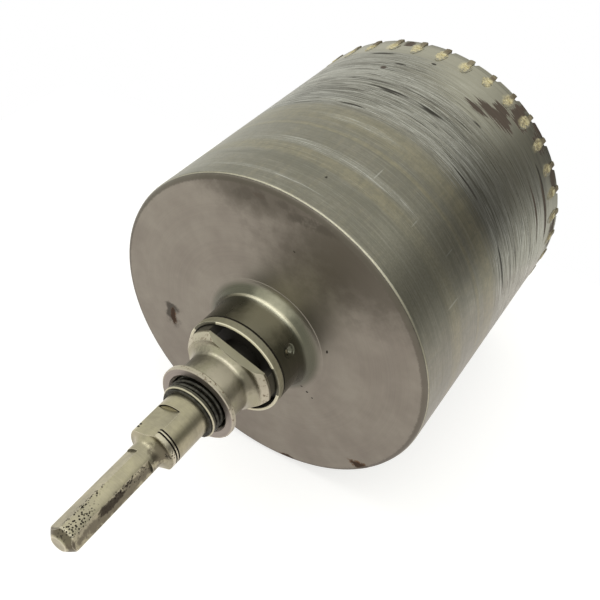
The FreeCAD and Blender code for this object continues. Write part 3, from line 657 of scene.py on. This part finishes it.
# Centre drill: ground tool steel, cool grey with fine marks round it
drill = {
    "steel": {"colour": "#B2B0A8", "roughness": 0.3, "metal": 1.0},
    "dull": {"colour": "#7E7B70", "roughness": 0.45, "metal": 1.0},
    "reliefDepth": 0.008,
}


def makeDrillSteel():
    material, tree = startMaterial("toolSteelGround")
    place = readPlace(tree)
    clouds = mottle(tree, place, 5.0, detail=4.0)
    marks = turningMarks(tree, place, 0.3, 15.0)
    surface = layOver(tree, drill["steel"], drill["dull"], clouds, 0.5)
    surface = layOver(tree, surface, drill["dull"], marks, 0.25)
    return finishMaterial(material, surface, marks, drill["reliefDepth"])


tipNames = sorted(name for name in nodes if name.startswith("tip_"))
dress(["barrel_tube"], makeTubeSteel())
dress(["end_plate"], makePlateSteel())
dress(["arbor"], makeArborSteel())
dress(["lock_sleeve"], makeSleeveSteel())
dress(["mouth_ring"], makeMouthSteel())
dress(["snap_ring", "lock_spring", "pilot_screw"], makePhosphatedSteel())
dress(["spring_seat"], makeSeatSteel())
dress(tipNames + ["pilot_tip"], makeCarbide())
dress(["braze"], makeBraze())
dress(["pilot_drill"], makeDrillSteel())
print("CAD nodes dressed, tips:", len(tipNames))


def shortenSpring():
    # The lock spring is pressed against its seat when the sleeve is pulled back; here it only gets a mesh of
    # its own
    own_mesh(nodes["lock_spring"])


shortenSpring()

# Studio: a pale floor that reads white where no shadow falls
studio = {
    "floorSize": 0.7,
    "floorPaint": "#BFBFBF",
    "floorGlow": 0.66,
    "floorSeenInMetal": "#EFE6E1",
    "tent": "#FDFCF2",
    "tentGap": "#6E6C66",
    "gapTowards": (0.75, 0.66, 0),
    "gapWide": (0.55, 0.9),
    "gapHeight": 0.12,
    "gapTall": (0.55, 0.12),
    "skyStrength": 0.85,
    "lampPlace": (0, -0.11, 0.95),
    "lampSize": (2.4, 0.3),
    "lampPower": 4.0,
}

lowest, highest = cadBox
centre = (lowest + highest) / 2


def seenRays(tree):
    # 1 for rays that see the studio itself: from the camera, in a reflection or through glass
    seen = addNode(tree, "LightPath", out=None).outputs
    either = addNode(tree, "Math", {0: seen["Is Camera Ray"], 1: seen["Is Glossy Ray"]}, operation="MAXIMUM")
    return addNode(tree, "Math", {0: either, 1: seen["Is Transmission Ray"]}, operation="MAXIMUM"), seen


def makeStudio():
    half = studio["floorSize"] / 2
    mesh = bpy.data.meshes.new("floor")
    corners = [(x * half, y * half, lowest.z) for x, y in ((-1, -1), (1, -1), (1, 1), (-1, 1))]
    mesh.from_pydata(corners, [], [(0, 1, 2, 3)])
    floor = bpy.data.objects.new("floor", mesh)
    bpy.context.scene.collection.objects.link(floor)
    material, tree = startMaterial("paperMatt")
    rays, seen = seenRays(tree)
    matt = addNode(tree, "BsdfDiffuse", {"Color": studio["floorPaint"]})
    strength = addNode(tree, "Math", {0: rays, 1: studio["floorGlow"]}, operation="MULTIPLY")
    glowColour = addNode(tree, "Mix", {0: seen["Is Camera Ray"], 6: studio["floorSeenInMetal"], 7: "#FFFFFF"},
                         out=2, data_type="RGBA")
    glow = addNode(tree, "Emission", {"Color": glowColour, "Strength": strength})
    addNode(tree, "OutputMaterial", {"Surface": addNode(tree, "AddShader", {0: matt, 1: glow})}, out=None)
    mesh.materials.append(material)

    world = bpy.data.worlds.new("studio")
    world.use_nodes = True
    bpy.context.scene.world = world
    tree = world.node_tree
    tree.nodes.clear()
    rays, seen = seenRays(tree)
    direction = addNode(tree, "TexCoord", out="Generated")
    # Metal sees a bright tent with one dark gap, a low strip behind the object and to its right
    toGap = Vector(studio["gapTowards"]).normalized()
    facing = addNode(tree, "VectorMath", {0: direction, 1: toGap}, out="Value", operation="DOT_PRODUCT")
    across = addNode(tree, "MapRange", {0: facing, 1: studio["gapWide"][0], 2: studio["gapWide"][1]},
                     interpolation_type="SMOOTHSTEP")
    height = addNode(tree, "SeparateXYZ", {0: direction}, out="Z")
    offMiddle = addNode(tree, "Math", {0: height, 1: studio["gapHeight"]}, operation="SUBTRACT")
    offMiddle = addNode(tree, "Math", {0: offMiddle}, operation="ABSOLUTE")
    upright = addNode(tree, "MapRange", {0: offMiddle, 1: studio["gapTall"][0], 2: studio["gapTall"][1]},
                      interpolation_type="SMOOTHSTEP")
    gap = addNode(tree, "Math", {0: across, 1: upright}, operation="MULTIPLY")
    tent = addNode(tree, "Mix", {0: gap, 6: studio["tent"], 7: studio["tentGap"]}, out=2, data_type="RGBA")
    white = addNode(tree, "Mix", {0: seen["Is Camera Ray"], 6: tent, 7: "#FFFFFF"}, out=2, data_type="RGBA")
    strength = addNode(tree, "MapRange", {0: rays, 3: studio["skyStrength"], 4: 1.0})
    background = addNode(tree, "Background", {"Color": white, "Strength": strength})
    addNode(tree, "OutputWorld", {"Surface": background}, out=None)

    lamp = bpy.data.lights.new("softbox", "AREA")
    lamp.shape = "RECTANGLE"
    lamp.size, lamp.size_y = studio["lampSize"]
    lamp.energy = studio["lampPower"]
    lampObject = bpy.data.objects.new("softbox", lamp)
    lampObject.location = Vector(studio["lampPlace"]) + centre
    bpy.context.scene.collection.objects.link(lampObject)


makeStudio()
print("studio built, floor at", round(lowest.z * 1000, 2), "mm")

# Camera: fitted to the photograph, measured from the barrel's heel in barrel radii
view = {
    "lens": 50.39,
    "sensor": 36.0,
    "turned": 32.75,
    "lookingDown": 40.69,
    "lyingRoll": -2.295,
    "heel": (0, 0.128, 0),
    "barrelRadius": 0.0795,
    "right": 0.18832,
    "up": 0.18828,
    "back": -4.70430,
}


def makeCamera():
    turned = math.radians(view["turned"])
    down = math.radians(view["lookingDown"])
    level = Vector((-math.sin(turned), math.cos(turned), 0))
    right = Vector((math.cos(turned), math.sin(turned), 0))
    ahead = level * math.cos(down) - Vector((0, 0, math.sin(down)))
    up = level * math.sin(down) + Vector((0, 0, math.cos(down)))
    reach = right * view["right"] + up * view["up"] + ahead * view["back"]
    roll = Matrix.Rotation(math.radians(view["lyingRoll"]), 3, "Y")
    data = bpy.data.cameras.new("camera")
    data.lens = view["lens"]
    data.sensor_width = view["sensor"]
    camera = bpy.data.objects.new("camera", data)
    axes = roll @ Matrix((right, up, -ahead)).transposed()
    place = roll @ (Vector(view["heel"]) + reach * view["barrelRadius"])
    camera.matrix_world = Matrix.Translation(place) @ axes.to_4x4()
    bpy.context.scene.collection.objects.link(camera)
    bpy.context.scene.camera = camera


makeCamera()
bpy.context.scene.view_settings.view_transform = "Standard"
print("camera placed")
